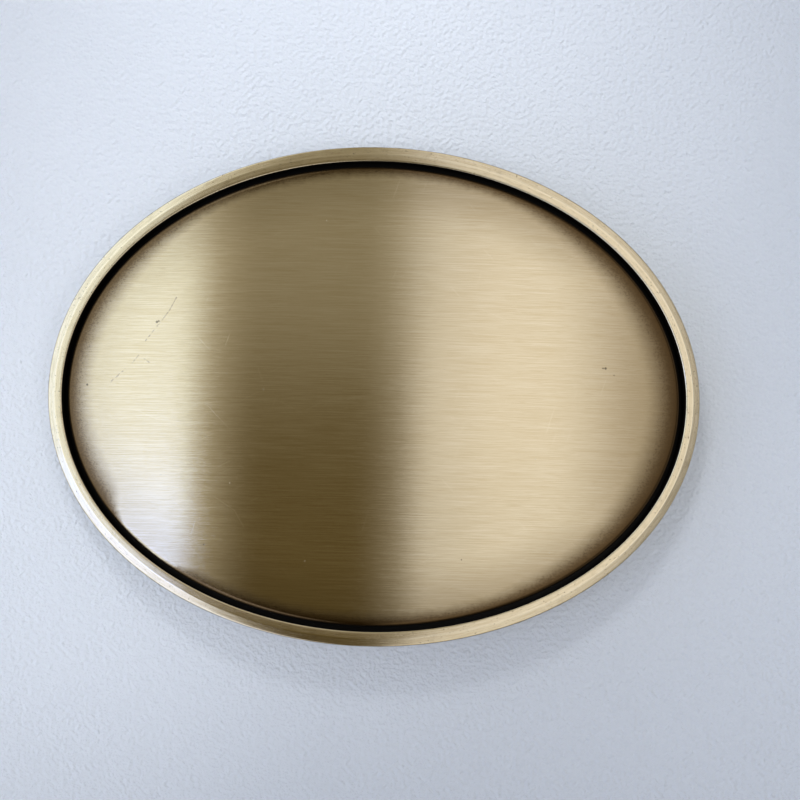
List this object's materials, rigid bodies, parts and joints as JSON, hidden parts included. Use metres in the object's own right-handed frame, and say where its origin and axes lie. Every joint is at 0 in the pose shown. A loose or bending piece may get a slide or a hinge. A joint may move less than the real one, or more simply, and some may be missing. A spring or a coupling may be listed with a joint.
{
  "type": "belt buckle",
  "caption": "Oval plate belt buckle with a ridged bezel, a domed brushed face panel, a swinging wire bail on two lugs and a fixed hook on its back.",
  "frame": {"origin": "on the surface the buckle lies on, below the middle of the oval", "axes": "+X along the belt, from the hook side to the bail side; +Y up as worn; +Z out of the face"},
  "size_m": [0.09, 0.0684, 0.0132],
  "materials": {
    "brushed_brass": "brushed along the belt, aged brown at the edge",
    "satin_brass": "satin with wear marks",
    "aged_brass": "aged, satin",
    "cast_brass": "fine cast grain, worn on the high spots",
    "bail_wire": "drawn wire, lightly worn",
    "rivet_brass": "peened, polished by wear",
    "adhesive": "cured epoxy"
  },
  "bodies": {
    "buckle": {"back_plate": "aged_brass", "rim_bezel": "satin_brass", "face_panel": "brushed_brass", "adhesive_bead": "adhesive", "upper_lug": "cast_brass", "lower_lug": "cast_brass", "belt_hook": "cast_brass", "upper_lug_inner_rivet": "rivet_brass", "upper_lug_outer_rivet": "rivet_brass", "lower_lug_inner_rivet": "rivet_brass", "lower_lug_outer_rivet": "rivet_brass", "hook_upper_rivet": "rivet_brass", "hook_lower_rivet": "rivet_brass"},
    "bail": {"swing_bail": "bail_wire"}
  },
  "joints": [
    {"name": "bail_swing", "type": "hinge", "parent": "buckle", "child": "bail", "pos_m": [0.0145, 0, 0.0033], "axis": [0, 1, 0], "range_deg": [-10.4, 186.6]}
  ]
}
